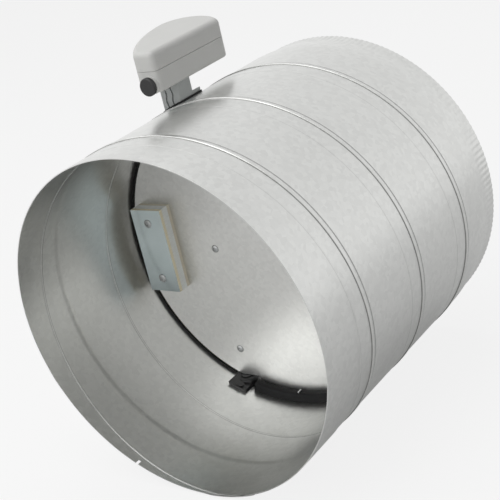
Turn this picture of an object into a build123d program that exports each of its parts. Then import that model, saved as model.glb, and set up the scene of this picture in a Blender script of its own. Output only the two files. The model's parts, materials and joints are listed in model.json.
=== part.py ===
from build123d import *
import math
import os

# Round bypass damper: a spiral-seam duct with an off-centre blade that air pressure pushes open
# and a spring in the head pulls shut.
# Origin at the middle of the plain end's mouth, +Y along the duct towards the crimped outlet,
# +Z along the blade's shaft. The pieces are drawn about mid length and moved to that origin at the end.

# Duct
duct_radius = 152.4
duct_length = 318.0
sheet = 0.7
socket_length = 46.0
socket_growth = 0.6
socket_cone = 6.0
crimp_length = 22.0
crimp_cone = 6.0
crimp_drop = 2.0
flute_depth = 1.1
flute_count = 120
flute_crest_share = 0.55
seam_pitch = 89.8
seam_width = 4.4
seam_top_width = 2.6
seam_height = 1.1
seam_sink = 0.08
seam_start_angle = 78.9
seam_lead_in = 11.2
seam_runout = 3.0
rim_notch_angle = 117.9
rim_notch_width = 5.0
rim_notch_depth = 4.0

# Blade and shaft
pivot_offset = 57.4
blade_gap = 4.0
blade_thickness = 1.2
blade_open_angle = 50.0
blade_notch_side = 1.3
blade_notch_clearance = 1.5
shaft_radius = 6.0
shaft_flat_clearance = 0.5
shaft_end_float = 0.2
rivet_spacing = 106.0
rivet_radius = 2.0
rivet_head_radius = 3.8
rivet_head_height = 1.1
rivet_depth = 4.0
head_bevel_share = 0.6

# Counterweight on the short side of the blade
weight_count = 4
weight_width = 35.0
weight_height = 84.0
weight_thickness = 3.9
weight_inset = 17.65
weight_rise = 2.0
weight_screw_spacing = 57.0
weight_screw_radius = 2.5
weight_head_radius = 4.2
weight_head_height = 1.4
weight_nut_flats = 8.0
weight_nut_height = 4.0
weight_screw_tail = 1.5

# Foam gaskets
gasket_size = 17.0
gasket_sides = 8
gasket_clearance = 0.3
gasket_wall_gap = 0.15
front_gasket_gap = 2.8
rear_gasket_gap = 10.5
staple_angle = 88.0
staple_width = 5.0
staple_wire = 1.2
staple_leg = 3.0

# Shaft bearings on the duct wall
bearing_radius = 11.5
bearing_rise = 4.9
bearing_rounding = 2.5
bearing_floor = 1.4
foot_width = 18.0
foot_length = 39.0
foot_thickness = 3.2
foot_hole_offset = 15.5
foot_rivet_radius = 2.0
foot_rivet_head_radius = 3.6
foot_rivet_head_height = 1.2
collar_wall = 1.6
upper_collar_rise = 11.6
lower_collar_rise = 8.6

# Post between the duct and the head
post_rise = 22.6
post_width = 21.7
post_depth = 18.8
post_rounding = 1.2
post_groove_width = 1.9
post_groove_depth = 1.4
post_groove_sway = 0.7
post_groove_waves = 2
post_groove_places = (-4.6, 2.4)
lug_length = 10.5
lug_thickness = 3.0
lug_screw_radius = 2.0
lug_screw_head_radius = 3.8
lug_screw_head_height = 2.2
seal_thickness = 1.6
seal_border = 0.8

# Head
base_height = 18.8
cover_height = 17.2
head_front = -35.0
head_right = 12.5
facet_left = -7.5
tail_centre_x = -27.0
head_back = 84.3
tail_radius = 25.3
tail_start_angle = 189.1
back_radius = 51.8
front_right_rounding = 5.5
front_left_rounding = 6.5
back_right_rounding = 10.0
top_rounding = 5.0
bottom_rounding = 2.0
base_wall = 3.2
base_floor = 2.4
cover_wall = 2.0
cover_roof = 2.4
lip_height = 2.0
parting_gap = 0.3
back_pillar_places = ((3.0, 54.0), (-36.0, 60.0))
front_pillar_y = 14.0
pillar_spring_gap = 2.0
pillar_radius = 5.0
cover_screw_radius = 1.5
cover_screw_length = 24.0
cover_screw_head_radius = 3.1
cover_screw_head_height = 2.4
cover_screw_recess = 3.0
base_screw_place = 6.4
base_screw_radius = 1.4
base_screw_length = 12.0
base_screw_head_radius = 2.6
base_screw_head_height = 2.2

# Spring mechanism in the head
knob_x = 3.0
knob_rise = 6.6
knob_radius = 8.1
knob_thickness = 3.4
knob_rounding = 1.2
knob_socket_depth = 2.3
knob_boss_radius = 8.6
knob_boss_height = 1.2
screw_radius = 3.0
screw_journal_radius = 2.5
screw_end_gap = 2.5
washer_radius = 3.9
washer_thickness = 1.0
slide_left = -15.4
slide_width = 5.0
slide_thickness = 1.5
slide_floor_gap = 0.2
slide_front = -20.0
slide_back = 60.0
nut_tab_thickness = 3.0
nut_tab_wall = 1.4
hook_tab_thickness = 1.8
guide_thickness = 1.2
guide_height = 2.6
guide_start = 22.0
guide_end = 46.0
lever_radius = 16.0
lever_hub_radius = 8.0
lever_eye_radius = 4.0
lever_thickness = 4.0
lever_floor_gap = 3.2
lever_spigot_radius = 4.0
lever_pin_radius = 1.5
lever_pin_rise = 5.4
lever_screw_radius = 2.0
lever_screw_length = 9.0
lever_screw_head_radius = 5.0
lever_screw_head_height = 2.4
spring_radius = 4.0
spring_wire = 1.1
spring_lead = 7.0
hook_radius = 2.2

# Fits, and how far a cut runs past its face or a joined form into its neighbour
seat_gap = 0.1
press_gap = 0.02
running_gap = 0.08
loose_gap = 0.3
overrun = 1.0

# Worked out from the sizes above
front_end = -duct_length / 2
back_end = duct_length / 2
bore_radius = duct_radius - sheet
pivot_x = -pivot_offset
pivot_angle = math.degrees(math.acos(pivot_x / bore_radius))
pivot_wall = math.sqrt(bore_radius ** 2 - pivot_offset ** 2)
blade_radius = bore_radius - blade_gap
blade_front = -blade_thickness
bearing_top = pivot_wall - bearing_rise
blade_notch_z = bearing_top - blade_notch_clearance
blade_notch_half = max(
    bearing_radius + blade_notch_side,
    (foot_width / 2 + blade_notch_side) / math.cos(math.radians(blade_open_angle)),
)
bearing_half = max(bearing_radius, foot_width / 2)
front_gasket_end = pivot_angle - math.degrees((bearing_half + front_gasket_gap) / bore_radius)
rear_gasket_end = pivot_angle + math.degrees((bearing_half + rear_gasket_gap) / bore_radius)
gasket_inner = bore_radius - gasket_wall_gap - gasket_size
weight_x = weight_inset - gasket_inner
crimp_start = back_end - crimp_length
cone_start = crimp_start - crimp_cone
crest_radius = duct_radius - crimp_drop
valley_radius = crest_radius - flute_depth
collar_radius = shaft_radius + running_gap + collar_wall
upper_collar_end = pivot_wall + upper_collar_rise
lower_collar_end = pivot_wall + lower_collar_rise
head_bottom = pivot_wall + post_rise
head_parting = head_bottom + base_height
head_top = head_parting + cover_height
knob_z = head_bottom + knob_rise
floor_top = head_bottom + base_floor
slide_bottom = floor_top + slide_floor_gap
lever_bottom = floor_top + lever_floor_gap
lever_top = lever_bottom + lever_thickness
hook_z = lever_top + lever_pin_rise / 2


def block(x_range, y_range, z_range):
    size = [high - low for low, high in (x_range, y_range, z_range)]
    corner = Pos(x_range[0], y_range[0], z_range[0])
    return corner * Box(*size, align=(Align.MIN, Align.MIN, Align.MIN))


def upright(radius, bottom, top, x, y):
    seat = (Align.CENTER, Align.CENTER, Align.MIN)
    return Pos(x, y, bottom) * Cylinder(radius, top - bottom, align=seat)


def along_duct(radius, start, end, x=0.0, z=0.0):
    seat = (Align.CENTER, Align.CENTER, Align.MIN)
    return Pos(x, start, z) * Rot(-90, 0, 0) * Cylinder(radius, end - start, align=seat)


def radial(angle, y, radius, start, end):
    outward = (math.cos(math.radians(angle)), 0, math.sin(math.radians(angle)))
    seat = (Align.CENTER, Align.CENTER, Align.MIN)
    frame = Plane(origin=(0, y, 0), x_dir=(0, 1, 0), z_dir=outward)
    return frame * Pos(0, 0, start) * Cylinder(radius, end - start, align=seat)


def turned(points):
    outline = Polyline(*[(r, y, 0) for r, y in points], close=True)
    return revolve(make_face(outline), Axis.Y)


def wall_shell(inner, outer, y_low, y_high):
    return along_duct(outer, y_low, y_high) - along_duct(inner, y_low - overrun, y_high + overrun)


def duct_sleeve():
    socket_end = front_end + socket_length
    body_start = socket_end + socket_cone
    outer = [
        (duct_radius + socket_growth, front_end),
        (duct_radius + socket_growth, socket_end),
        (duct_radius, body_start),
        (duct_radius, cone_start),
        (crest_radius, crimp_start),
    ]
    inner = [
        (valley_radius - sheet, crimp_start),
        (bore_radius, cone_start),
        (bore_radius, body_start),
        (bore_radius + socket_growth, socket_end),
        (bore_radius + socket_growth, front_end),
    ]
    return turned(outer + inner)


def fluted_loop(crest, valley):
    pitch = 360 / flute_count
    crest_angle = pitch * flute_crest_share
    edges = []
    for index in range(flute_count):
        start = index * pitch
        arc = CenterArc((0, 0), crest, start, crest_angle)
        middle = math.radians(start + (crest_angle + pitch) / 2)
        after = math.radians(start + pitch)
        low = (valley * math.cos(middle), valley * math.sin(middle))
        next_crest = (crest * math.cos(after), crest * math.sin(after))
        edges += [arc, Line(arc @ 1, low), Line(low, next_crest)]
    return Wire(edges)


def crimped_end():
    outside = fluted_loop(crest_radius, valley_radius)
    inside = fluted_loop(crest_radius - sheet, valley_radius - sheet)
    ring = extrude(Face(outside, [inside]), crimp_length)
    return Pos(0, crimp_start, 0) * Rot(-90, 0, 0) * ring


def lock_seam():
    length = cone_start - seam_runout - front_end + seam_lead_in
    path = Helix(seam_pitch, length, duct_radius)
    frame = Plane(origin=path @ 0, x_dir=(1, 0, 0), z_dir=path % 0)
    half, half_top = seam_width / 2, seam_top_width / 2
    corners = [
        (-seam_sink, -half),
        (seam_height, -half_top),
        (seam_height, half_top),
        (-seam_sink, half),
    ]
    ridge = sweep(frame * make_face(Polyline(*corners, close=True)), path, is_frenet=True)
    start_turn = seam_start_angle - 360 * seam_lead_in / seam_pitch
    ridge = Pos(0, front_end - seam_lead_in, 0) * Rot(-90, 0, 0) * Rot(0, 0, start_turn) * ridge
    reach = duct_radius + seam_height + overrun
    return ridge - along_duct(reach, front_end - seam_lead_in - seam_pitch, front_end)


def duct_tube():
    tube = duct_sleeve() + crimped_end() + lock_seam()
    reach = duct_radius + seam_height + overrun
    tube -= upright(collar_radius + seat_gap, -reach, reach, pivot_x, 0)
    hole = foot_rivet_radius + seat_gap
    for angle in (pivot_angle, -pivot_angle):
        for y in (-foot_hole_offset, foot_hole_offset):
            tube -= radial(angle, y, hole, blade_radius, reach)
    half = rim_notch_width / 2
    notch = block((blade_radius, reach), (front_end - overrun, front_end + rim_notch_depth), (-half, half))
    return tube - Rot(0, rim_notch_angle, 0) * notch


def gasket(end_angle, y_middle):
    section = RegularPolygon(gasket_size / 2, gasket_sides, major_radius=False)
    spot = Pos(gasket_inner + gasket_size / 2, y_middle) * Rot(0, 0, 180 / gasket_sides) * section
    return Rot(0, -end_angle, 0) * revolve(spot, Axis.Y, 2 * end_angle)


def staple_legs(angle, radius):
    y_middle = blade_front - gasket_clearance - gasket_size / 2
    offset = (staple_width - staple_wire) / 2
    start = gasket_inner - staple_wire / 2
    legs = [
        radial(angle, y_middle + side * offset, radius, start, gasket_inner + staple_leg)
        for side in (-1, 1)
    ]
    return legs[0] + legs[1]


def front_gasket():
    ring = gasket(front_gasket_end, blade_front - gasket_clearance - gasket_size / 2)
    for angle in (-staple_angle, staple_angle):
        ring -= staple_legs(angle, staple_wire / 2 + press_gap)
    return ring


def rear_gasket():
    span = 180 - rear_gasket_end
    return Rot(0, 180, 0) * gasket(span, gasket_clearance + gasket_size / 2)


def gasket_staples():
    y_middle = blade_front - gasket_clearance - gasket_size / 2
    place = Pos(gasket_inner - staple_wire / 2, y_middle, 0)
    staples = []
    for angle in (-staple_angle, staple_angle):
        crown = place * Box(staple_wire, staple_width, staple_wire)
        staples.append(Rot(0, -angle, 0) * crown + staple_legs(angle, staple_wire / 2))
    return Compound(staples)


def bearing_body():
    boss = upright(bearing_radius, bearing_top, duct_radius, pivot_x, 0)
    boss = fillet(boss.faces().sort_by(Axis.Z)[0].edges(), bearing_rounding)
    half_width, half_length = foot_width / 2, foot_length / 2
    foot = block(
        (pivot_x - half_width, pivot_x + half_width), (-half_length, half_length), (0, duct_radius)
    )
    foot = foot - along_duct(bore_radius - foot_thickness, -foot_length, foot_length)
    body = (boss + foot) & along_duct(bore_radius - seat_gap, -foot_length, foot_length)
    for y in (-foot_hole_offset, foot_hole_offset):
        body -= radial(pivot_angle, y, foot_rivet_radius + press_gap, blade_radius / 2, duct_radius)
    return body


def shaft_bore(end):
    return upright(shaft_radius + running_gap, 0, end, pivot_x, 0)


def collared_bearing(end):
    return bearing_body() + upright(collar_radius, bearing_top + bearing_rounding, end, pivot_x, 0)


def lower_bearing():
    bearing = collared_bearing(lower_collar_end + bearing_floor)
    return mirror(bearing - shaft_bore(lower_collar_end), Plane.XY)


def upper_bearing():
    bearing = collared_bearing(upper_collar_end)
    return bearing - shaft_bore(upper_collar_end + overrun)


def wall_rivet(angle, y):
    inside = bore_radius - foot_thickness - seat_gap
    head = radial(angle, y, foot_rivet_head_radius, inside - foot_rivet_head_height, inside)
    shank = radial(angle, y, foot_rivet_radius, inside, duct_radius + seat_gap)
    tail_start = duct_radius + seat_gap
    tail = radial(angle, y, foot_rivet_head_radius, tail_start, tail_start + foot_rivet_head_height)
    return head + shank + tail


def bearing_rivets():
    return Compound(
        [
            wall_rivet(-pivot_angle, -foot_hole_offset),
            wall_rivet(-pivot_angle, foot_hole_offset),
            wall_rivet(pivot_angle, -foot_hole_offset),
        ]
    )


def post_footprint(border, top):
    half_width, half_depth = post_width / 2 + border, post_depth / 2 + border
    x_range = (pivot_x - half_width, pivot_x + half_width)
    return block(x_range, (-half_depth, half_depth + lug_length), (0, top))


def post_seal():
    inner = duct_radius + seat_gap
    outer = inner + seal_thickness
    reach = post_depth + lug_length
    pad = post_footprint(seal_border, outer) & wall_shell(inner, outer, -reach, reach)
    pad -= upright(collar_radius + seat_gap, 0, outer, pivot_x, 0)
    hole = lug_screw_radius + seat_gap
    return pad - radial(pivot_angle, foot_hole_offset, hole, bore_radius, outer + overrun)


def post_groove(place, bottom):
    steps = 4 * post_groove_waves
    rise = (head_bottom - bottom) / steps
    left, right = [], []
    for index in range(steps + 1):
        shift = post_groove_sway * math.sin(math.pi * index / 2)
        z = bottom + index * rise
        left.append((pivot_x + place + shift - post_groove_width / 2, z))
        right.append((pivot_x + place + shift + post_groove_width / 2, z))
    sides = [Spline(*left), Line(left[-1], right[-1]), Spline(*right[::-1]), Line(right[0], left[0])]
    ribbon = make_face(Wire(sides))
    front = Plane(origin=(0, -post_depth / 2 - overrun, 0), x_dir=(1, 0, 0), z_dir=(0, -1, 0))
    return extrude(front * ribbon, -post_groove_depth - overrun)


def standoff_post():
    half_width, half_depth = post_width / 2, post_depth / 2
    seat = duct_radius + 2 * seat_gap + seal_thickness
    column = block(
        (pivot_x - half_width, pivot_x + half_width), (-half_depth, half_depth), (0, head_bottom)
    )
    column = fillet(column.edges().filter_by(Axis.Z), post_rounding)
    lug = post_footprint(0, head_bottom) - block(
        (pivot_x - post_width, pivot_x + post_width), (-post_depth, 0), (0, head_bottom)
    )
    lug &= along_duct(seat + lug_thickness, -post_depth, post_depth + lug_length)
    reach = post_depth + lug_length
    post = column + lug - along_duct(seat, -reach, reach)
    post -= upright(shaft_radius + 2 * loose_gap, 0, head_bottom + overrun, pivot_x, 0)
    post -= upright(collar_radius + seat_gap, 0, upper_collar_end + loose_gap, pivot_x, 0)
    post -= radial(pivot_angle, foot_hole_offset, lug_screw_radius + seat_gap, bore_radius, 2 * seat)
    for x, y in base_screw_points():
        bottom = floor_top - base_screw_length - loose_gap
        post -= upright(base_screw_radius + press_gap, bottom, head_bottom + overrun, x, y)
    lowest = math.sqrt(seat ** 2 - (pivot_offset + half_width) ** 2)
    for place in post_groove_places:
        post -= post_groove(place, lowest - overrun)
    return post


def post_screw():
    seat = duct_radius + 2 * seat_gap + seal_thickness + lug_thickness
    inside = bore_radius - foot_thickness
    shank = radial(pivot_angle, foot_hole_offset, lug_screw_radius, inside, seat)
    head = radial(pivot_angle, foot_hole_offset, lug_screw_head_radius, seat, seat + lug_screw_head_height)
    return shank + head


def head_outline():
    corner = (head_right, head_front)
    nose = (facet_left, head_front)
    turn = math.radians(tail_start_angle)
    tail_y = head_back - tail_radius
    flank_end = (tail_centre_x + tail_radius * math.cos(turn), tail_y + tail_radius * math.sin(turn))
    apex = (tail_centre_x, head_back)
    half_turn = (turn + math.pi / 2) / 2
    tail_middle = (
        tail_centre_x + tail_radius * math.cos(half_turn),
        tail_y + tail_radius * math.sin(half_turn),
    )
    back_y = head_back - back_radius
    back_turn = math.acos((head_right - tail_centre_x) / back_radius)
    back_middle = (math.pi / 2 + back_turn) / 2
    back_point = (
        tail_centre_x + back_radius * math.cos(back_middle),
        back_y + back_radius * math.sin(back_middle),
    )
    back_corner = (head_right, back_y + back_radius * math.sin(back_turn))
    flank = TangentArc(flank_end, nose, tangent=(-math.sin(turn), math.cos(turn)))
    edges = [
        Line(corner, nose),
        flank,
        ThreePointArc(flank_end, tail_middle, apex),
        ThreePointArc(apex, back_point, back_corner),
        Line(back_corner, corner),
    ]
    plan = make_face(Wire(edges))
    for point, rounding in (
        (corner, front_right_rounding),
        (nose, front_left_rounding),
        (back_corner, back_right_rounding),
    ):
        nearest = plan.vertices().sort_by_distance((*point, 0))[0]
        plan = fillet(nearest, rounding)
    return plan


def head_layer(inset, bottom, top):
    plan = head_outline()
    if inset:
        plan = offset(plan, -inset)
    return Pos(pivot_x, 0, bottom) * extrude(plan, top - bottom)


def pillar_points():
    front_x = -lever_radius - spring_radius - pillar_spring_gap - pillar_radius
    places = [*back_pillar_places, (front_x, front_pillar_y)]
    return [(pivot_x + x, y) for x, y in places]


def base_screw_points():
    return [
        (pivot_x + base_screw_place, base_screw_place),
        (pivot_x - base_screw_place, -base_screw_place),
    ]


def slide_guides():
    left = pivot_x + slide_left - loose_gap - guide_thickness
    right = pivot_x + slide_left + slide_width + loose_gap
    z_range = (floor_top - overrun, floor_top + guide_height)
    rails = [block((x, x + guide_thickness), (guide_start, guide_end), z_range) for x in (left, right)]
    return rails[0] + rails[1]


def housing_base():
    shell = head_layer(0, head_bottom, head_parting)
    shell = fillet(shell.faces().sort_by(Axis.Z)[0].edges(), bottom_rounding)
    lip_inset = cover_wall + parting_gap / 2
    shell += head_layer(lip_inset, head_parting - overrun, head_parting + lip_height)
    shell -= head_layer(base_wall, floor_top, head_parting + lip_height + overrun)
    boss_end = head_front - knob_boss_height
    knob_middle = pivot_x + knob_x
    boss = along_duct(knob_boss_radius, boss_end, head_front + base_wall, knob_middle, knob_z)
    boss_sides = (knob_middle - knob_boss_radius, knob_middle + knob_boss_radius)
    shell += boss & block(boss_sides, (boss_end, 0), (head_bottom, head_parting))
    shell += slide_guides()
    journal = screw_journal_radius + running_gap
    shell -= along_duct(journal, boss_end - overrun, head_front + base_wall + overrun, knob_middle, knob_z)
    shell -= upright(shaft_radius + 2 * loose_gap, 0, floor_top + overrun, pivot_x, 0)
    for x, y in base_screw_points():
        shell -= upright(base_screw_radius + seat_gap, 0, floor_top + overrun, x, y)
    for x, y in pillar_points():
        shell += upright(pillar_radius, floor_top - overrun, head_parting, x, y)
        shell -= upright(cover_screw_radius + seat_gap, 0, head_parting + overrun, x, y)
        shell -= upright(
            cover_screw_head_radius + loose_gap, 0, head_bottom + cover_screw_recess, x, y
        )
    return shell


def housing_cover():
    bottom = head_parting + parting_gap
    shell = head_layer(0, bottom, head_top)
    shell = fillet(shell.faces().sort_by(Axis.Z)[-1].edges(), top_rounding)
    shell -= head_layer(cover_wall, bottom - overrun, head_top - cover_roof)
    for x, y in pillar_points():
        shell += upright(pillar_radius, bottom, head_top - cover_roof + overrun, x, y)
        tip = head_bottom + cover_screw_recess + cover_screw_length - cover_screw_head_height
        shell -= upright(cover_screw_radius + press_gap, bottom - overrun, tip + loose_gap, x, y)
    return shell


def screw(shank_radius, head_radius, seat, head_height, length, x, y, direction):
    bottom, top = sorted((seat, seat + direction * length))
    shank = upright(shank_radius, bottom, top, x, y)
    low, high = sorted((seat, seat - direction * head_height))
    return shank + upright(head_radius, low, high, x, y)


def cover_screws():
    seat = head_bottom + cover_screw_recess
    length = cover_screw_length - cover_screw_head_height
    return Compound(
        [
            screw(
                cover_screw_radius, cover_screw_head_radius, seat, cover_screw_head_height, length, x, y, 1
            )
            for x, y in pillar_points()
        ]
    )


def base_screws():
    return Compound(
        [
            screw(
                base_screw_radius,
                base_screw_head_radius,
                floor_top,
                base_screw_head_height,
                base_screw_length,
                x,
                y,
                -1,
            )
            for x, y in base_screw_points()
        ]
    )


def weight_points():
    half = weight_screw_spacing / 2
    return [(weight_x, weight_rise - half), (weight_x, weight_rise + half)]


def rivet_heights():
    return (-rivet_spacing, 0.0, rivet_spacing)


def blade_disc():
    disc = along_duct(blade_radius, blade_front, 0)
    sides = (pivot_x - blade_notch_half, pivot_x + blade_notch_half)
    through = (blade_front - overrun, overrun)
    for low, high in ((blade_notch_z, duct_radius), (-duct_radius, -blade_notch_z)):
        disc -= block(sides, through, (low, high))
    for z in rivet_heights():
        disc -= along_duct(rivet_radius + press_gap, *through, pivot_x, z)
    for x, z in weight_points():
        disc -= along_duct(weight_screw_radius + seat_gap, *through, x, z)
    return disc


def blade_shaft():
    foot = shaft_end_float - lower_collar_end
    rod = upright(shaft_radius, foot, lever_bottom, pivot_x, 0)
    rod += upright(lever_spigot_radius, lever_bottom, lever_top - seat_gap, pivot_x, 0)
    flat = blade_notch_z + shaft_flat_clearance
    side = 2 * shaft_radius
    rod -= block((pivot_x - side, pivot_x + side), (-side, 0), (-flat, flat))
    for z in rivet_heights():
        rod -= along_duct(rivet_radius + press_gap, -overrun, rivet_depth + seat_gap, pivot_x, z)
    hole_end = lever_top - lever_screw_length - seat_gap
    return rod - upright(lever_screw_radius + press_gap, hole_end, lever_top, pivot_x, 0)


def blade_rivets():
    rivets = []
    for z in rivet_heights():
        head = along_duct(rivet_head_radius, blade_front - rivet_head_height, blade_front, pivot_x, z)
        head = chamfer(head.faces().sort_by(Axis.Y)[0].edges(), rivet_head_height * head_bevel_share)
        rivets.append(head + along_duct(rivet_radius, blade_front, rivet_depth, pivot_x, z))
    return Compound(rivets)


def counterweight_plate(index):
    back = blade_front - index * weight_thickness
    half_width, half_height = weight_width / 2, weight_height / 2
    plate = block(
        (weight_x - half_width, weight_x + half_width),
        (back - weight_thickness, back),
        (weight_rise - half_height, weight_rise + half_height),
    )
    for x, z in weight_points():
        hole = weight_screw_radius + seat_gap
        plate -= along_duct(hole, back - weight_thickness - overrun, back + overrun, x, z)
    return plate


def counterweight_screws():
    seat = blade_front - weight_count * weight_thickness
    tip = weight_nut_height + weight_screw_tail
    screws = []
    for x, z in weight_points():
        head = along_duct(weight_head_radius, seat - weight_head_height, seat, x, z)
        head = chamfer(head.faces().sort_by(Axis.Y)[0].edges(), weight_head_height * head_bevel_share)
        screws.append(head + along_duct(weight_screw_radius, seat, tip, x, z))
    return Compound(screws)


def counterweight_nuts():
    hexagon = RegularPolygon(weight_nut_flats / 2, 6, major_radius=False)
    nuts = []
    for x, z in weight_points():
        nut = Pos(x, 0, z) * Rot(-90, 0, 0) * extrude(hexagon, weight_nut_height)
        thread = along_duct(weight_screw_radius + press_gap, -overrun, weight_nut_height + overrun, x, z)
        nuts.append(nut - thread)
    return Compound(nuts)


def lever_pin_place():
    return pivot_x - lever_radius, 0.0


def spring_lever():
    hub = Circle(lever_hub_radius)
    eye = Pos(-lever_radius, 0) * Circle(lever_eye_radius)
    plan = make_hull(hub.edges() + eye.edges())
    lever = Pos(pivot_x, 0, lever_bottom) * extrude(plan, lever_thickness)
    through = (lever_bottom - overrun, lever_top + overrun)
    lever -= upright(lever_spigot_radius + press_gap, *through, pivot_x, 0)
    return lever - upright(lever_pin_radius + press_gap, *through, *lever_pin_place())


def lever_pin():
    return upright(lever_pin_radius, lever_bottom, lever_top + lever_pin_rise, *lever_pin_place())


def lever_screw():
    return screw(
        lever_screw_radius,
        lever_screw_head_radius,
        lever_top,
        lever_screw_head_height,
        lever_screw_length,
        pivot_x,
        0,
        -1,
    )


def spring_slide():
    left = pivot_x + slide_left
    right = left + slide_width
    top = slide_bottom + slide_thickness
    strip = block((left, right), (slide_front, slide_back), (slide_bottom, top))
    tab_end = slide_front + nut_tab_thickness
    nut_x = pivot_x + knob_x
    nut_half = screw_radius + nut_tab_wall
    strip += block((left, nut_x + nut_half), (slide_front, tab_end), (slide_bottom, top))
    tab_top = knob_z + nut_half
    strip += block((nut_x - nut_half, nut_x + nut_half), (slide_front, tab_end), (slide_bottom, tab_top))
    strip -= along_duct(screw_radius + running_gap, slide_front - overrun, tab_end + overrun, nut_x, knob_z)
    pin_x = lever_pin_place()[0]
    hook_start = slide_back - hook_tab_thickness
    wing = pin_x - 2 * hook_radius
    hole_z = hook_z - hook_radius
    strip += block((wing, right), (hook_start, slide_back), (slide_bottom, hook_z))
    hole = spring_wire / 2 + loose_gap
    return strip - along_duct(hole, hook_start - overrun, slide_back + overrun, pin_x, hole_z)


def tension_spring():
    pin_x = lever_pin_place()[0]
    tab_middle = slide_back - hook_tab_thickness / 2
    coil_start, coil_end = spring_lead, tab_middle - spring_lead
    coil = along_duct(spring_radius, coil_start, coil_end, pin_x, hook_z)
    wire = spring_wire / 2
    eye = Torus(hook_radius, wire)
    front_eye = Pos(pin_x, 0, hook_z) * eye
    back_eye = Pos(pin_x, tab_middle, hook_z) * Rot(0, 90, 0) * eye
    front_lead = along_duct(wire, hook_radius, coil_start, pin_x, hook_z)
    back_lead = along_duct(wire, coil_end, tab_middle - hook_radius, pin_x, hook_z)
    return coil + front_lead + back_lead + front_eye + back_eye


def knob_back():
    return head_front - knob_boss_height - loose_gap


def setting_knob():
    front = knob_back() - knob_thickness
    knob = along_duct(knob_radius, front, knob_back(), pivot_x + knob_x, knob_z)
    knob = fillet(knob.faces().sort_by(Axis.Y)[0].edges(), knob_rounding)
    socket_end = knob_back() - knob_socket_depth
    socket = screw_journal_radius + press_gap
    return knob - along_duct(socket, socket_end, knob_back() + overrun, pivot_x + knob_x, knob_z)


def shoulder_y():
    return head_front + base_wall + washer_thickness + 2 * seat_gap


def adjusting_screw():
    x = pivot_x + knob_x
    outer_end = knob_back() - knob_socket_depth + seat_gap
    inner_end = -lever_hub_radius - screw_end_gap
    journal = along_duct(screw_journal_radius, outer_end, shoulder_y(), x, knob_z)
    return journal + along_duct(screw_radius, shoulder_y(), inner_end, x, knob_z)


def thrust_washer():
    start = head_front + base_wall + seat_gap
    end = start + washer_thickness
    x = pivot_x + knob_x
    ring = along_duct(washer_radius, start, end, x, knob_z)
    return ring - along_duct(screw_journal_radius + running_gap, start - overrun, end + overrun, x, knob_z)


pieces = {
    "duct_tube": duct_tube(),
    "front_gasket": front_gasket(),
    "rear_gasket": rear_gasket(),
    "gasket_staples": gasket_staples(),
    "lower_bearing": lower_bearing(),
    "upper_bearing": upper_bearing(),
    "bearing_rivets": bearing_rivets(),
    "post_seal": post_seal(),
    "standoff_post": standoff_post(),
    "post_screw": post_screw(),
    "housing_base": housing_base(),
    "housing_cover": housing_cover(),
    "base_screws": base_screws(),
    "cover_screws": cover_screws(),
    "blade_disc": blade_disc(),
    "blade_shaft": blade_shaft(),
    "blade_rivets": blade_rivets(),
    "counterweight_screws": counterweight_screws(),
    "counterweight_nuts": counterweight_nuts(),
    "spring_lever": spring_lever(),
    "lever_pin": lever_pin(),
    "lever_screw": lever_screw(),
    "spring_slide": spring_slide(),
    "tension_spring": tension_spring(),
    "setting_knob": setting_knob(),
    "adjusting_screw": adjusting_screw(),
    "thrust_washer": thrust_washer(),
}
for number in range(weight_count):
    pieces[f"counterweight_plate_{number + 1}"] = counterweight_plate(number)

os.makedirs("parts", exist_ok=True)
to_origin = Pos(0, -front_end, 0)
for name, piece in pieces.items():
    export_step(to_origin * piece, f"parts/{name}.step")
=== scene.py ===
import bmesh
import bpy
import json
import math
from mathutils import Matrix, Vector


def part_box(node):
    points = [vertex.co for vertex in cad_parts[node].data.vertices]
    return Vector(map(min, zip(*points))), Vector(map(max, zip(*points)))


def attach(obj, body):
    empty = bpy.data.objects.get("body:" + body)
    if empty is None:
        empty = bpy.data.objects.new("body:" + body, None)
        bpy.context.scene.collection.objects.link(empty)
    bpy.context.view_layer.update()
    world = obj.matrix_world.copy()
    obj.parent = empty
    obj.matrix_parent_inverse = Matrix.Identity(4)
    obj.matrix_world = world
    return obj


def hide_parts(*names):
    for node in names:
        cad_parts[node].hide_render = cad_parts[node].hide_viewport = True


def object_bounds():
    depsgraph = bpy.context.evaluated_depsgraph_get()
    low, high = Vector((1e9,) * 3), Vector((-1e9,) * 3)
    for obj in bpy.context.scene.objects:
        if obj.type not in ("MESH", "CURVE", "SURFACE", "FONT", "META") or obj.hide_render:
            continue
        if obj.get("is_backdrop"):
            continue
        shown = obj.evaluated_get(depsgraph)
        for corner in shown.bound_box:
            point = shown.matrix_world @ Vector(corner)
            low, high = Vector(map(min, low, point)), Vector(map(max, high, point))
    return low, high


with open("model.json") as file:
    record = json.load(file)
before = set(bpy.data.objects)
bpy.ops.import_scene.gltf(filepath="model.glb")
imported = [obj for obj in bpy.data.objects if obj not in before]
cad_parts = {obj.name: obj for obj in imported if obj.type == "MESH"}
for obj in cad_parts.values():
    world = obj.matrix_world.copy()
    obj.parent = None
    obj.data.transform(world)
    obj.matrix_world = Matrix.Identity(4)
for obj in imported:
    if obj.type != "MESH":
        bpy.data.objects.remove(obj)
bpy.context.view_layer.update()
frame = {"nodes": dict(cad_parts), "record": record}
nodes = frame["nodes"]
mm = 0.001
weldGap = 1e-6
print("frame loaded:", len(nodes), "nodes")


# Material building blocks

def newMaterial(name):
    mat = bpy.data.materials.new(name)
    mat.use_nodes = True
    tree = mat.node_tree
    return mat, tree, tree.nodes["Principled BSDF"]


def addNode(tree, kind, **sockets):
    node = tree.nodes.new(kind)
    for key, value in sockets.items():
        node.inputs[key.replace("_", " ")].default_value = value
    return node


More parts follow.
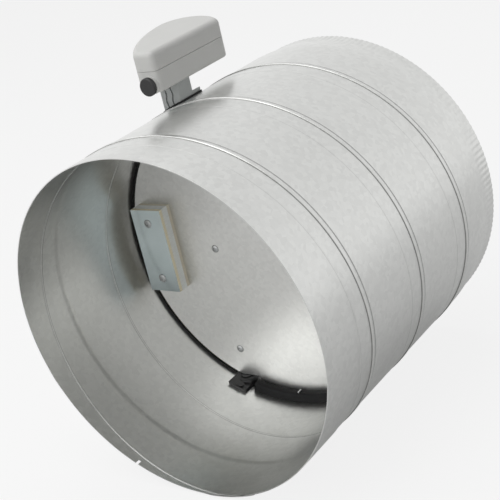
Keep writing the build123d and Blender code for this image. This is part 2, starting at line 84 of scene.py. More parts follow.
def objectCoords(tree, scale=(1, 1, 1)):
    coords = tree.nodes.new("ShaderNodeTexCoord")
    mapping = tree.nodes.new("ShaderNodeMapping")
    mapping.inputs["Scale"].default_value = scale
    tree.links.new(coords.outputs["Object"], mapping.inputs["Vector"])
    return mapping.outputs["Vector"]


def noise(tree, vector, scale, detail=3.0, roughness=0.5):
    node = addNode(tree, "ShaderNodeTexNoise", Scale=scale, Detail=detail, Roughness=roughness)
    tree.links.new(vector, node.inputs["Vector"])
    return node.outputs["Fac"]


def spread(tree, value, low, high, fromLow=0.0, fromHigh=1.0):
    node = tree.nodes.new("ShaderNodeMapRange")
    numbers = {"From Min": fromLow, "From Max": fromHigh, "To Min": low, "To Max": high}
    for key, number in numbers.items():
        node.inputs[key].default_value = number
    tree.links.new(value, node.inputs["Value"])
    return node.outputs["Result"]


def maths(tree, kind, first, second):
    node = tree.nodes.new("ShaderNodeMath")
    node.operation = kind
    for index, value in enumerate((first, second)):
        if isinstance(value, (int, float)):
            node.inputs[index].default_value = value
        else:
            tree.links.new(value, node.inputs[index])
    return node.outputs["Value"]


def shaded(tree, colour, factor):
    node = tree.nodes.new("ShaderNodeVectorMath")
    node.operation = "SCALE"
    node.inputs[0].default_value = colour
    tree.links.new(factor, node.inputs["Scale"])
    return node.outputs["Vector"]


def blended(tree, factor, first, second):
    node = tree.nodes.new("ShaderNodeMix")
    node.data_type = "RGBA"
    tree.links.new(factor, node.inputs["Factor"])
    for socket, value in ((node.inputs[6], first), (node.inputs[7], second)):
        if isinstance(value, tuple):
            socket.default_value = (*value, 1.0)
        else:
            tree.links.new(value, socket)
    return node.outputs[2]


def bumped(tree, shader, height, strength, distance):
    node = addNode(tree, "ShaderNodeBump", Strength=strength, Distance=distance)
    tree.links.new(height, node.inputs["Height"])
    tree.links.new(node.outputs["Normal"], shader.inputs["Normal"])


# Finishes

sheetLook = {
    "colour": (0.70, 0.705, 0.69), "spangle": 260.0, "roughness": 0.30,
    "wave": 7.0, "waveDepth": 0.0004,
}
bladeLook = {
    "colour": (0.70, 0.70, 0.685), "spangle": 300.0, "roughness": 0.40,
    "wave": 6.0, "waveDepth": 0.0005,
}
zincTones = {
    "cloudScale": 14.0, "grainScale": 900.0, "cell": (0.955, 1.04), "cloud": (0.965, 1.035),
    # the painted crease shade: colour factor and roughness where the seam attribute is full
    "grain": (0.985, 1.015), "cellRough": 0.01, "cloudRough": 0.02, "paintedCreaseShade": 0.42, "creaseRoughness": 0.6,
}


def zincSheet(name, look):
    # spangled hot-dip zinc: small crystal cells over soft rolling waves, with painted shade along the
    # seams' feet and folds, set by a per-vertex attribute
    mat, tree, shader = newMaterial(name)
    coords = objectCoords(tree)
    cells = addNode(tree, "ShaderNodeTexVoronoi", Scale=look["spangle"])
    tree.links.new(coords, cells.inputs["Vector"])
    tone = tree.nodes.new("ShaderNodeSeparateColor")
    tree.links.new(cells.outputs["Color"], tone.inputs["Color"])
    cellTone = tone.outputs["Red"]
    cloud = noise(tree, coords, zincTones["cloudScale"], 4.0, 0.55)
    grain = noise(tree, coords, zincTones["grainScale"], 2.0, 0.6)
    # painted shade in the seams' creases, read from the per-vertex attribute
    paintedCreaseShade = tree.nodes.new("ShaderNodeAttribute")
    paintedCreaseShade.attribute_name = "paintedCreaseShade"
    paintedShadeMask = paintedCreaseShade.outputs["Fac"]
    factor = spread(tree, cellTone, *zincTones["cell"])
    factor = maths(tree, "MULTIPLY", factor, spread(tree, cloud, *zincTones["cloud"]))
    factor = maths(tree, "MULTIPLY", factor, spread(tree, grain, *zincTones["grain"]))
    factor = maths(tree, "MULTIPLY", factor, spread(tree, paintedShadeMask, 1.0, zincTones["paintedCreaseShade"]))
    tree.links.new(shaded(tree, look["colour"], factor), shader.inputs["Base Color"])
    shader.inputs["Metallic"].default_value = 1.0
    cellRough, cloudRough = zincTones["cellRough"], zincTones["cloudRough"]
    cellPart = spread(tree, cellTone, -cellRough, cellRough)
    rough = maths(tree, "ADD", cellPart, spread(tree, cloud, -cloudRough, cloudRough))
    plain = spread(tree, paintedShadeMask, look["roughness"], zincTones["creaseRoughness"])
    tree.links.new(maths(tree, "ADD", rough, plain), shader.inputs["Roughness"])
    wave = noise(tree, coords, look["wave"], 1.0, 0.4)
    bumped(tree, shader, wave, 1.0, look["waveDepth"])
    return mat


platedLook = {
    "cloudScale": 60.0, "grainScale": 400.0, "cloud": (0.93, 1.06), "grain": (0.95, 1.05),
    "roughnessReach": 0.07, "pitStrength": 0.25, "pitDepth": 0.0002,
}


def platedSteel(name, colour, roughness):
    # plated or drawn steel with fine pits
    mat, tree, shader = newMaterial(name)
    coords = objectCoords(tree)
    cloud = noise(tree, coords, platedLook["cloudScale"], 4.0, 0.6)
    grain = noise(tree, coords, platedLook["grainScale"], 2.0, 0.6)
    factor = spread(tree, cloud, *platedLook["cloud"])
    factor = maths(tree, "MULTIPLY", factor, spread(tree, grain, *platedLook["grain"]))
    tree.links.new(shaded(tree, colour, factor), shader.inputs["Base Color"])
    shader.inputs["Metallic"].default_value = 1.0
    reach = platedLook["roughnessReach"]
    tree.links.new(spread(tree, cloud, roughness - reach, roughness + reach), shader.inputs["Roughness"])
    bumped(tree, shader, grain, platedLook["pitStrength"], platedLook["pitDepth"])
    return mat


weightLook = {
    # the broad faces carry a painted reflection of the dark duct wall, darker towards the bottom over the
    # lower part of the plate
    "face": (0.60, 0.68, 0.69), "reflectionDarkBottom": 0.5, "reflectionBrightTop": 1.05, "paintedReflectionEnd": 0.6, "roughness": 0.15,
    "cream": (0.93, 0.86, 0.64), "grey": (0.88, 0.90, 0.87), "beige": (0.72, 0.67, 0.54),
    "edgeMetal": 0.1, "edgeRoughness": 0.4, "edgeTone": (0.82, 1.12), "faceTurn": (0.55, 0.85),
    "cloudScale": 55.0, "cloud": (0.94, 1.06), "cloudRough": 0.04, "streakScale": (160.0, 160.0, 1500.0),
}


def weightPlate(name, edgeColour):
    # bright blue zinc on the broad faces, with a painted reflection that darkens them towards the bottom,
    # passivated tint on the cut edges
    mat, tree, shader = newMaterial(name)
    coords = objectCoords(tree)
    surface = tree.nodes.new("ShaderNodeTexCoord")
    parts = tree.nodes.new("ShaderNodeSeparateXYZ")
    tree.links.new(surface.outputs["Normal"], parts.inputs["Vector"])
    turned = maths(tree, "ABSOLUTE", parts.outputs["Y"], 0.0)
    facing = spread(tree, turned, 0.0, 1.0, *weightLook["faceTurn"])
    cloud = noise(tree, coords, weightLook["cloudScale"], 4.0, 0.6)
    streak = noise(tree, objectCoords(tree, weightLook["streakScale"]), 1.0, 2.0, 0.5)
    place = tree.nodes.new("ShaderNodeSeparateXYZ")
    tree.links.new(coords, place.inputs["Vector"])
    # painted reflection: the broad faces go from half brightness at the bottom edge to full brightness
    # partway up
    low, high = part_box("counterweight_plate_1")
    paintedReflectionTop = low.z + (high.z - low.z) * weightLook["paintedReflectionEnd"]
    paintedReflection = spread(tree, place.outputs["Z"], weightLook["reflectionDarkBottom"], weightLook["reflectionBrightTop"], low.z, paintedReflectionTop)
    tone = maths(tree, "MULTIPLY", paintedReflection, spread(tree, cloud, *weightLook["cloud"]))
    face = shaded(tree, weightLook["face"], tone)
    edge = shaded(tree, edgeColour, spread(tree, streak, *weightLook["edgeTone"]))
    tree.links.new(blended(tree, facing, edge, face), shader.inputs["Base Color"])
    tree.links.new(spread(tree, facing, weightLook["edgeMetal"], 1.0), shader.inputs["Metallic"])
    plain = spread(tree, facing, weightLook["edgeRoughness"], weightLook["roughness"])
    uneven = spread(tree, cloud, -weightLook["cloudRough"], weightLook["cloudRough"])
    tree.links.new(maths(tree, "ADD", uneven, plain), shader.inputs["Roughness"])
    return mat


plasticLook = {
    "grainScale": 1400.0, "cloudScale": 35.0, "cloud": (0.97, 1.03), "grain": (0.97, 1.03),
    "roughnessReach": 0.06, "grainStrength": 0.35, "grainDepth": 0.00012,
}


def mouldedPlastic(name, colour, roughness):
    # spark-eroded moulding grain
    mat, tree, shader = newMaterial(name)
    coords = objectCoords(tree)
    grain = noise(tree, coords, plasticLook["grainScale"], 2.0, 0.55)
    cloud = noise(tree, coords, plasticLook["cloudScale"], 3.0, 0.5)
    factor = spread(tree, cloud, *plasticLook["cloud"])
    factor = maths(tree, "MULTIPLY", factor, spread(tree, grain, *plasticLook["grain"]))
    tree.links.new(shaded(tree, colour, factor), shader.inputs["Base Color"])
    reach = plasticLook["roughnessReach"]
    tree.links.new(spread(tree, grain, roughness - reach, roughness + reach), shader.inputs["Roughness"])
    bumped(tree, shader, grain, plasticLook["grainStrength"], plasticLook["grainDepth"])
    return mat


foamLook = {
    "poreScale": 900.0, "cloudScale": 90.0, "pore": (0.7, 1.35), "cloud": (0.8, 1.2),
    "roughness": (0.55, 0.75), "shine": 0.3, "poreStrength": 0.5, "poreDepth": 0.0004,
}


def closedFoam(name, colour):
    # closed-cell foam: small open pores in a dull skin
    mat, tree, shader = newMaterial(name)
    coords = objectCoords(tree)
    pores = addNode(tree, "ShaderNodeTexVoronoi", Scale=foamLook["poreScale"])
    tree.links.new(coords, pores.inputs["Vector"])
    depth = pores.outputs["Distance"]
    cloud = noise(tree, coords, foamLook["cloudScale"], 3.0, 0.6)
    factor = spread(tree, depth, *foamLook["pore"])
    factor = maths(tree, "MULTIPLY", factor, spread(tree, cloud, *foamLook["cloud"]))
    tree.links.new(shaded(tree, colour, factor), shader.inputs["Base Color"])
    tree.links.new(spread(tree, cloud, *foamLook["roughness"]), shader.inputs["Roughness"])
    shader.inputs["Specular IOR Level"].default_value = foamLook["shine"]
    bumped(tree, shader, depth, foamLook["poreStrength"], foamLook["poreDepth"])
    return mat


finishes = {
    "galvanised": zincSheet("spangled_duct_sheet", sheetLook),
    "blade_zinc": zincSheet("spangled_blade_sheet", bladeLook),
    "weight_zinc": weightPlate("grey_edged_weight", weightLook["grey"]),
    "fastener_zinc": platedSteel("bright_zinc_fastener", (0.62, 0.63, 0.62), 0.36),
    "shaft_steel": platedSteel("oiled_black_bar", (0.06, 0.06, 0.062), 0.42),
    "spring_steel": platedSteel("drawn_spring_wire", (0.42, 0.43, 0.44), 0.25),
    "black_foam": closedFoam("black_closed_foam", (0.006, 0.006, 0.0065)),
    "black_plastic": mouldedPlastic("black_moulding", (0.009, 0.009, 0.0095), 0.42),
    "head_grey": mouldedPlastic("warm_grey_moulding", (0.56, 0.56, 0.545), 0.5),
    "post_grey": mouldedPlastic("cool_grey_moulding", (0.36, 0.375, 0.37), 0.5),
}
dullHead = platedSteel("dull_zinc_head", (0.44, 0.45, 0.45), 0.42)
nodeFinishes = {
    "bearing_rivets": finishes["black_plastic"],
    "counterweight_plate_1": weightPlate("beige_edged_weight", weightLook["beige"]),
    "counterweight_plate_4": weightPlate("cream_edged_weight", weightLook["cream"]),
}
print("finishes ready:", len(finishes) + len(nodeFinishes))


# Mesh building blocks

def spunProfile(bm, points, start, turn, steps, pitch=0.0, closed=False, full=False, centre=(0.0, 0.0)):
    # a row of (radius, y) points turned round a line along Y, with an optional rise for each turn
    x, z = centre
    verts = []
    for radius, y in points:
        verts.append(bm.verts.new((x + radius * math.cos(start), y, z - radius * math.sin(start))))
    pairs = list(zip(verts, verts[1:]))
    if closed:
        pairs.append((verts[-1], verts[0]))
    edges = [bm.edges.new(pair) for pair in pairs]
    rise = Vector((0, pitch * turn / (2 * math.pi) / steps, 0))
    bmesh.ops.spin(
        bm, geom=verts + edges, cent=(x, 0, z), axis=(0, 1, 0), dvec=rise,
        angle=turn, steps=steps, use_merge=full,
    )


def closeEnds(bm):
    bmesh.ops.holes_fill(bm, edges=[e for e in bm.edges if e.is_boundary], sides=0)


def finishPiece(name, bm, slot, body, replaced=(), merged=False, look=None):
    if not merged:
        bmesh.ops.remove_doubles(bm, verts=bm.verts, dist=weldGap)
        bmesh.ops.recalc_face_normals(bm, faces=bm.faces)
    for face in bm.faces:
        face.smooth = True
    mesh = bpy.data.meshes.new(name)
    bm.to_mesh(mesh)
    bm.free()
    piece = bpy.data.objects.new(name, mesh)
    bpy.context.scene.collection.objects.link(piece)
    mesh.materials.append(look or finishes[slot])
    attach(piece, body)
    if replaced:
        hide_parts(*replaced)
    return piece


def sharpEdges(piece, angle):
    piece.data.set_sharp_from_angle(angle=math.radians(angle))


# Duct tube: plain rim in front, crimped end behind, spiral lock seam round it

duct = {
    "radius": 152.4 * mm, "length": 318.0 * mm, "sheet": 0.7 * mm,
    "socketEnd": 46.0 * mm, "socketGrowth": 0.6 * mm, "bodyStart": 52.0 * mm,
    "crestRadius": 150.4 * mm,
    "fluteDepth": 0.42 * mm, "flutes": 176, "stepsPerFlute": 6, "fluteStart": 292.0 * mm,
    "fadeStart": 278.0 * mm, "fadeEnd": 308.0 * mm, "coneSteps": 3, "fadeSteps": 8,
    "bodyRows": (100.0 * mm, 150.0 * mm, 200.0 * mm, 250.0 * mm),
    "notchAngle": 117.9, "notchWidth": 2.6 * mm, "notchDepth": 4.5 * mm,
}


def smoothShare(value, low, high):
    share = min(1.0, max(0.0, (value - low) / (high - low)))
    return share * share * (3 - 2 * share)


def ductWall(y):
    grown = 1 - smoothShare(y, duct["socketEnd"], duct["bodyStart"])
    drop = (duct["radius"] - duct["crestRadius"]) * smoothShare(y, duct["fadeStart"], duct["fadeEnd"])
    return duct["radius"] + duct["socketGrowth"] * grown - drop


def evenRows(start, end, steps):
    return [start + (end - start) * i / steps for i in range(steps + 1)]


def ductTube():
    bm = bmesh.new()
    steps = duct["flutes"] * duct["stepsPerFlute"]
    rows = [0.0, duct["notchDepth"]]
    rows += evenRows(duct["socketEnd"], duct["bodyStart"], duct["coneSteps"])
    rows += duct["bodyRows"]
    rows += evenRows(duct["fadeStart"], duct["fadeEnd"], duct["fadeSteps"])
    rows += [(duct["fadeEnd"] + duct["length"]) / 2, duct["length"]]
    spunProfile(bm, [(ductWall(y), y) for y in rows], 0.0, 2 * math.pi, steps, full=True)
    for vert in bm.verts:
        y = vert.co.y
        if y > duct["fluteStart"]:
            angle = math.atan2(-vert.co.z, vert.co.x)
            wave = 0.5 - 0.5 * math.cos(angle * duct["flutes"])
            depth = duct["fluteDepth"] * smoothShare(y, duct["fluteStart"], duct["fadeEnd"]) * wave
            scale = 1 - depth / math.hypot(vert.co.x, vert.co.z)
            vert.co.x *= scale
            vert.co.z *= scale
    half = duct["notchWidth"] / 2 / ductWall(0)
    cut = []
    for face in bm.faces:
        middle = face.calc_center_median()
        turn = math.atan2(-middle.z, middle.x) - math.radians(duct["notchAngle"])
        if middle.y < duct["notchDepth"] and abs(turn) < half:
            cut.append(face)
    bmesh.ops.delete(bm, geom=cut, context="FACES")
    bmesh.ops.remove_doubles(bm, verts=bm.verts, dist=weldGap)
    bmesh.ops.recalc_face_normals(bm, faces=bm.faces)
    bmesh.ops.solidify(bm, geom=bm.faces[:], thickness=duct["sheet"])
    piece = finishPiece("spiral_duct", bm, "galvanised", "duct", ["duct_tube"], merged=True)
    sharpEdges(piece, 50)
    radii = [math.hypot(v.co.x, v.co.z) for v in piece.data.vertices]
    print("duct wall from", round(min(radii), 4), "to", round(max(radii), 4))
    return piece


# each look's tone scales the painted crease shade along its feet and shoulders
seam = {
    "pitch": 89.8 * mm, "startAngle": 78.9, "end": 287.0 * mm, "lead": 20.0 * mm, "stepsPerTurn": 300,
    "sink": 0.3 * mm, "flangeRise": 0.04 * mm, "shoulderHeight": 0.7, "shoulderInset": 0.3,
    "band": {
        "width": 4.8 * mm, "top": 4.0 * mm, "height": 0.75 * mm, "gutter": 0.5 * mm, "lip": 1.8 * mm,
        "tone": 1.0, "offset": 0.0,
    },
    "fold": {
        "width": 1.3 * mm, "top": 0.5 * mm, "height": 0.08 * mm, "gutter": 0.4 * mm, "lip": 0.0,
        "tone": 0.3, "offset": -19.5 * mm,
    },
    "inner": {
        "width": 1.5 * mm, "top": 0.8 * mm, "height": 0.30 * mm, "gutter": 0.6 * mm, "lip": 0.6 * mm,
        "tone": 0.6, "offset": 0.0,
    },
}


def beadProfile(look, radius, outward):
    # radius, y and painted crease shade of each point, from the near flange over the raised band to the far
    # flange
    half, top = look["width"] / 2, look["top"] / 2
    sink = seam["sink"]
    low, high = outward * seam["flangeRise"], outward * look["height"]
    shoulder = radius + high * seam["shoulderHeight"]
    inset = (half - top) * seam["shoulderInset"]
    return [
        (radius - outward * sink, -half - look["gutter"], 0.0),
        (radius + low, -half - look["gutter"], 0.55),
        (radius + low, -half, 1.0),
        (shoulder, -half + inset, 0.75),
        (radius + high, -top, 0.0),
        (radius + high, top, 0.0),
        (shoulder, half - inset, 0.35),
        (radius + low, half, 0.9),
        (radius + low, half + look["lip"], 0.7),
        (radius - outward * sink, half + look["lip"], 0.0),
    ]


def spiralBead(name, look, radius, outward):
    bm = bmesh.new()
    profile = beadProfile(look, radius, outward)
    lead, offset = seam["lead"], look["offset"]
    turns = (seam["end"] + lead + max(0.0, -offset)) / seam["pitch"]
    start = math.radians(seam["startAngle"]) - 2 * math.pi * lead / seam["pitch"]
    points = [(reach, y - lead + offset) for reach, y, paintedCreaseShade in profile]
    steps = int(seam["stepsPerTurn"] * turns)
    spunProfile(bm, points, start, 2 * math.pi * turns, steps, seam["pitch"], closed=True)
    # painted shade at the seam's feet and shoulders, stored per vertex
    layer = bm.verts.layers.float.new("paintedCreaseShade")
    for vert in bm.verts:
        turn = start - math.atan2(-vert.co.z, vert.co.x)
        along = vert.co.y + turn / (2 * math.pi) * seam["pitch"]
        shift = (along - points[0][1] + seam["pitch"] / 2) % seam["pitch"] - seam["pitch"] / 2
        reach = math.hypot(vert.co.x, vert.co.z)
        nearest = min(
            range(len(points)),
            key=lambda i: abs(points[i][1] - points[0][1] - shift) + abs(points[i][0] - reach),
        )
        vert[layer] = profile[nearest][2] * look["tone"]
        scale = 1 + (ductWall(vert.co.y) - duct["radius"]) / reach
        vert.co.x *= scale
        vert.co.z *= scale
    for level, clearInner in ((0.0, True), (seam["end"], False)):
        bmesh.ops.bisect_plane(
            bm, geom=bm.verts[:] + bm.edges[:] + bm.faces[:], dist=1e-7, plane_co=(0, level, 0),
            plane_no=(0, 1, 0), clear_inner=clearInner, clear_outer=not clearInner,
        )
    closeEnds(bm)
    piece = finishPiece(name, bm, "galvanised", "duct")
    sharpEdges(piece, 40)
    return piece


def spiralSeam():
    bore = duct["radius"] - duct["sheet"]
    spiralBead("lock_seam", seam["band"], duct["radius"], 1)
    spiralBead("seam_fold_line", seam["fold"], duct["radius"], 1)
    spiralBead("seam_inner_line", seam["inner"], bore, -1)


ductTube()
spiralSeam()
print("duct and seam done")


# Foam strips that the closed blade rests on

foam = {
    "thickness": 8.6 * mm, "width": 9.8 * mm, "wallGap": 0.15 * mm, "rounding": 2.6 * mm,
    "endRounding": 1.2 * mm, "roundSteps": 6, "endSteps": 3, "stepAngle": 1.5,
    "frontReach": 0.4, "rearReach": 3.2,
}


def foamStrip(name, node, startAngle, endAngle, bladeSide):
    low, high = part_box(node)
    if bladeSide > 0:
        low.y = high.y - foam["width"]
    else:
        high.y = low.y + foam["width"]
    outer = duct["radius"] - duct["sheet"] - foam["wallGap"]
    bm = bmesh.new()
    inner = outer - foam["thickness"]
    corners = [(inner, low.y), (inner, high.y), (outer, high.y), (outer, low.y)]
    section = bm.faces.new([bm.verts.new((r, y, 0)) for r, y in corners])
    inside = [v for v in section.verts if v.co.x < outer - foam["wallGap"]]
    bmesh.ops.bevel(
        bm, geom=inside, offset=foam["rounding"], segments=foam["roundSteps"],
        profile=0.5, affect="VERTICES", material=-1,
    )
    bmesh.ops.delete(bm, geom=bm.faces[:], context="FACES_ONLY")
    begin = Matrix.Rotation(math.radians(startAngle), 3, "Y")
    bmesh.ops.rotate(bm, verts=bm.verts, cent=(0, 0, 0), matrix=begin)
    steps = int((endAngle - startAngle) / foam["stepAngle"])
    bmesh.ops.spin(
        bm, geom=bm.verts[:] + bm.edges[:], cent=(0, 0, 0), axis=(0, 1, 0), dvec=(0, 0, 0),
        angle=math.radians(endAngle - startAngle), steps=steps, use_merge=False,
    )
    closeEnds(bm)
    caps = [f for f in bm.faces if len(f.verts) > 4]
    rims = list({e for f in caps for e in f.edges})
    bmesh.ops.bevel(
        bm, geom=rims, offset=foam["endRounding"], segments=foam["endSteps"],
        profile=0.5, affect="EDGES", material=-1,
    )
    piece = finishPiece(name, bm, "black_foam", "duct", [node])
    sharpEdges(piece, 60)
    return piece


def gasketEnd(node, sign):
    # angle round the duct at which the node's ring ends, from its own corners
    ends = [math.atan2(abs(v.co.z), v.co.x) for v in nodes[node].data.vertices]
    return math.degrees(max(ends) if sign > 0 else min(ends))


# the thin strips can run nearer to the bearings than the model's thick rings, by these angles
frontEnd = gasketEnd("front_gasket", 1) + foam["frontReach"]
rearEnd = gasketEnd("rear_gasket", -1) - foam["rearReach"]
foamStrip("front_foam_strip", "front_gasket", -frontEnd, frontEnd, 1)
foamStrip("rear_foam_strip", "rear_gasket", rearEnd, 360 - rearEnd, -1)


staple = {
    "angle": 88.0, "setback": 4.6 * mm, "width": 5.5 * mm, "wire": 1.2 * mm, "leg": 3.0 * mm,
    "sinkShare": 0.4, "cuts": 4, "legShare": 0.38,
}


def foamStaples():
    # a bent flat wire pressed into the strip's face at each end of the long side
    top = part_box("front_gasket")[1].y - staple["setback"]
    surface = duct["radius"] - duct["sheet"] - foam["wallGap"] - foam["thickness"]
    bm = bmesh.new()
    made = bmesh.ops.create_cube(bm, size=1.0)["verts"]
    bmesh.ops.scale(bm, verts=made, vec=(staple["wire"], staple["width"], staple["wire"]))
    back = [f for f in bm.faces if f.normal.x > 0.5]
    lengthwise = [
        e for f in back for e in f.edges if abs(e.verts[0].co.y - e.verts[1].co.y) > staple["wire"]
    ]
    bmesh.ops.subdivide_edges(bm, edges=lengthwise, cuts=staple["cuts"], use_grid_fill=True)
    bm.normal_update()
    legs = [
        f for f in bm.faces
        if f.normal.x > 0.5 and abs(f.calc_center_median().y) > staple["width"] * staple["legShare"]
    ]
    for leg in legs:
        grown = bmesh.ops.extrude_discrete_faces(bm, faces=[leg])["faces"]
        bmesh.ops.translate(bm, verts=grown[0].verts[:], vec=(staple["leg"], 0, 0))
    crown = surface - staple["wire"] * staple["sinkShare"]
    bmesh.ops.translate(bm, verts=bm.verts, vec=(crown, top, 0))
    first = bm.verts[:]
    copied = bmesh.ops.duplicate(bm, geom=bm.verts[:] + bm.edges[:] + bm.faces[:])["geom"]
    second = [v for v in copied if isinstance(v, bmesh.types.BMVert)]
    for corners, side in ((first, -1), (second, 1)):
        turn = Matrix.Rotation(math.radians(side * staple["angle"]), 3, "Y")
        bmesh.ops.rotate(bm, verts=corners, cent=(0, 0, 0), matrix=turn)
    piece = finishPiece("foam_staple_wires", bm, "fastener_zinc", "duct", ["gasket_staples"])
    sharpEdges(piece, 30)


foamStaples()
print("foam strips and staples done")


# Rivets and screws on the blade: low domes with a pit

blade = {"pivotX": -57.4 * mm, "front": 157.8 * mm, "rivetZ": 106.0 * mm, "weightX": -116.9 * mm}
domes = {
    "arcSteps": 6, "turnSteps": 32, "pitTaper": 0.8,
    "rivet": {
        "head": 3.8 * mm, "rise": 1.3 * mm, "shank": 2.4 * mm, "pit": 1.5 * mm, "pitDepth": 0.7 * mm,
    },
    "weight": {
        "head": 4.2 * mm, "rise": 1.4 * mm, "shank": 2.5 * mm, "pit": 1.9 * mm, "pitDepth": 0.9 * mm,
    },
}


def domedHead(bm, look, centre, seat, tip):
    # pit floor, pit wall, rolled dome, seat and shank, from the front to the tip
    floor = seat - look["rise"] + look["pitDepth"]
    points = [(0.0, floor), (look["pit"] * domes["pitTaper"], floor)]
    for index in range(domes["arcSteps"] + 1):
        share = index / domes["arcSteps"]
        radius = look["pit"] + (look["head"] - look["pit"]) * math.sin(share * math.pi / 2)
        points.append((radius, seat - look["rise"] * math.cos(share * math.pi / 2)))
    points += [(look["shank"], seat), (look["shank"], tip), (0.0, tip)]
    spunProfile(bm, points, 0.0, 2 * math.pi, domes["turnSteps"], full=True, centre=centre)


def bladeFasteners():
    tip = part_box("blade_rivets")[1].y
    bm = bmesh.new()
    for z in (-blade["rivetZ"], 0.0, blade["rivetZ"]):
        domedHead(bm, domes["rivet"], (blade["pivotX"], z), blade["front"], tip)
    piece = finishPiece("blade_rivet_domes", bm, "fastener_zinc", "blade", ["blade_rivets"], look=dullHead)
    sharpEdges(piece, 40)
    low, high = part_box("counterweight_screws")
    head = domes["weight"]
    bm = bmesh.new()
    for z in (low.z + head["head"], high.z - head["head"]):
        domedHead(bm, head, (blade["weightX"], z), low.y + head["rise"], high.y)
    replaced = ["counterweight_screws"]
    piece = finishPiece("weight_screw_domes", bm, "fastener_zinc", "blade", replaced, look=dullHead)
    sharpEdges(piece, 40)


bladeFasteners()
print("blade fasteners done")


# Solids kept from the model: each gets its finish, and some get a small round on their edges

edgeRounds = {"standoff_post": 0.2 * mm, "spring_lever": 0.3 * mm, "spring_slide": 0.2 * mm}
roundSteps, roundAngle = 2, 40.0


def dressNodes():
    slots = {part["node"]: part["material_slot"] for part in frame["record"]["subparts"]}
    for name, obj in nodes.items():
        obj.data.materials.clear()
        obj.data.materials.append(nodeFinishes.get(name, finishes[slots[name]]))
        if name in edgeRounds:
            weld = obj.modifiers.new("weld", "WELD")
            weld.merge_threshold = weldGap
            rounds = obj.modifiers.new("rounds", "BEVEL")
            rounds.width = edgeRounds[name]
            rounds.segments = roundSteps
            rounds.limit_method = "ANGLE"
            rounds.angle_limit = math.radians(roundAngle)
            rounds.harden_normals = True


dressNodes()
print("kept solids dressed")


# Floor, light and camera

studio = {
    "floorDrop": 1.0 * mm, "floorSize": 6.0, "floorColour": (0.58, 0.58, 0.58), "floorRoughness": 0.9,
    "shadow": 0.16,
    # the last two set a painted shadow round the object where polished metal mirrors the floor
    "mirroredInPaintedShadow": 0.25, "paintedShadowReach": (0.3, 1.6),
}


def seenShare(tree, mirrored=1.0):
    # 1 for what the camera sees straight or through glass, and the given share in polished metal
    path = tree.nodes.new("ShaderNodeLightPath")
    mirror = maths(tree, "MULTIPLY", path.outputs["Is Glossy Ray"], mirrored)
    seen = maths(tree, "MAXIMUM", path.outputs["Is Camera Ray"], mirror)
    return maths(tree, "MAXIMUM", seen, path.outputs["Is Transmission Ray"])


def paleFloor():
    bm = bmesh.new()
    bmesh.ops.create_grid(bm, x_segments=1, y_segments=1, size=studio["floorSize"] / 2)
    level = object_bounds()[0].z - studio["floorDrop"]
    bmesh.ops.translate(bm, verts=bm.verts, vec=(0, 0, level))
    mesh = bpy.data.meshes.new("floor")
    bm.to_mesh(mesh)
    bm.free()
    floor = bpy.data.objects.new("floor", mesh)
    bpy.context.scene.collection.objects.link(floor)
    mat, tree, shader = newMaterial("pale_floor")
    shader.inputs["Base Color"].default_value = (*studio["floorColour"], 1.0)
    shader.inputs["Roughness"].default_value = studio["floorRoughness"]
    # painted shadow: the floor seen in polished metal mirrors less white near the object, so it darkens
    # towards it
    distance = tree.nodes.new("ShaderNodeVectorMath")
    distance.operation = "LENGTH"
    tree.links.new(objectCoords(tree), distance.inputs[0])
    mirrored = spread(tree, distance.outputs["Value"], studio["mirroredInPaintedShadow"], 1.0, *studio["paintedShadowReach"])
    seen = seenShare(tree, mirrored)
    glow = addNode(tree, "ShaderNodeEmission", Strength=1.0)
    glow.inputs["Color"].default_value = (1, 1, 1, 1)
    mixed = tree.nodes.new("ShaderNodeMixShader")
    tree.links.new(maths(tree, "MULTIPLY", seen, 1 - studio["shadow"]), mixed.inputs["Fac"])
    tree.links.new(shader.outputs["BSDF"], mixed.inputs[1])
    tree.links.new(glow.outputs["Emission"], mixed.inputs[2])
    tree.links.new(mixed.outputs["Shader"], tree.nodes["Material Output"].inputs["Surface"])
    mesh.materials.append(mat)
    floor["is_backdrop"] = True


sky = {"level": 1.0, "zenith": 0.86, "climb": 0.7, "lit": 0.38}


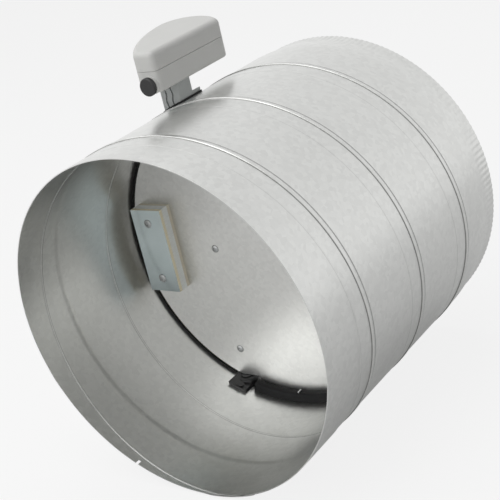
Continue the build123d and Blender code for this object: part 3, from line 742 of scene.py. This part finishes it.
def softWorld():
    # a pale dome, dimmer overhead
    world = bpy.data.worlds.new("studio")
    bpy.context.scene.world = world
    world.use_nodes = True
    tree = world.node_tree
    back = tree.nodes["Background"]
    coords = tree.nodes.new("ShaderNodeTexCoord")
    parts = tree.nodes.new("ShaderNodeSeparateXYZ")
    tree.links.new(coords.outputs["Generated"], parts.inputs["Vector"])
    level = spread(tree, parts.outputs["Z"], sky["level"], sky["zenith"], 0.0, sky["climb"])
    share = spread(tree, seenShare(tree), sky["lit"], 1.0)
    tree.links.new(maths(tree, "MULTIPLY", level, share), back.inputs["Strength"])
    back.inputs["Color"].default_value = (1, 1, 1, 1)


lamps = {
    "key": {"place": (-0.35, -0.2, 1.9), "size": 2.2, "watts": 30.0},
    "fill": {"place": (-0.5, -1.7, 0.7), "size": 1.2, "watts": 8.0},
}


def softLamps():
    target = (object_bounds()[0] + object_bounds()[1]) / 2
    for name, lamp in lamps.items():
        light = bpy.data.lights.new(name, "AREA")
        light.shape = "SQUARE"
        light.size = lamp["size"]
        light.energy = lamp["watts"]
        obj = bpy.data.objects.new(name, light)
        obj.location = lamp["place"]
        obj.rotation_mode = "QUATERNION"
        obj.rotation_quaternion = (target - obj.location).to_track_quat("-Z", "Y")
        bpy.context.scene.collection.objects.link(obj)


view = {
    "place": (0.6100, -0.6244, 0.4027), "lens": 85.79, "sensor": 36.0,
    "right": (0.8128, 0.5406, -0.2169), "up": (-0.0441, 0.4284, 0.9025),
}


def photoCamera():
    camera = bpy.data.cameras.new("camera")
    camera.lens = view["lens"]
    camera.sensor_width = view["sensor"]
    obj = bpy.data.objects.new("camera", camera)
    right = Vector(view["right"]).normalized()
    back = right.cross(Vector(view["up"])).normalized()
    up = back.cross(right)
    axes = Matrix((right, up, back)).transposed().to_4x4()
    obj.matrix_world = Matrix.Translation(view["place"]) @ axes
    bpy.context.scene.collection.objects.link(obj)
    bpy.context.scene.camera = obj


paleFloor()
softWorld()
softLamps()
photoCamera()
bpy.context.scene.view_settings.view_transform = "Standard"
print("floor, light and camera done")
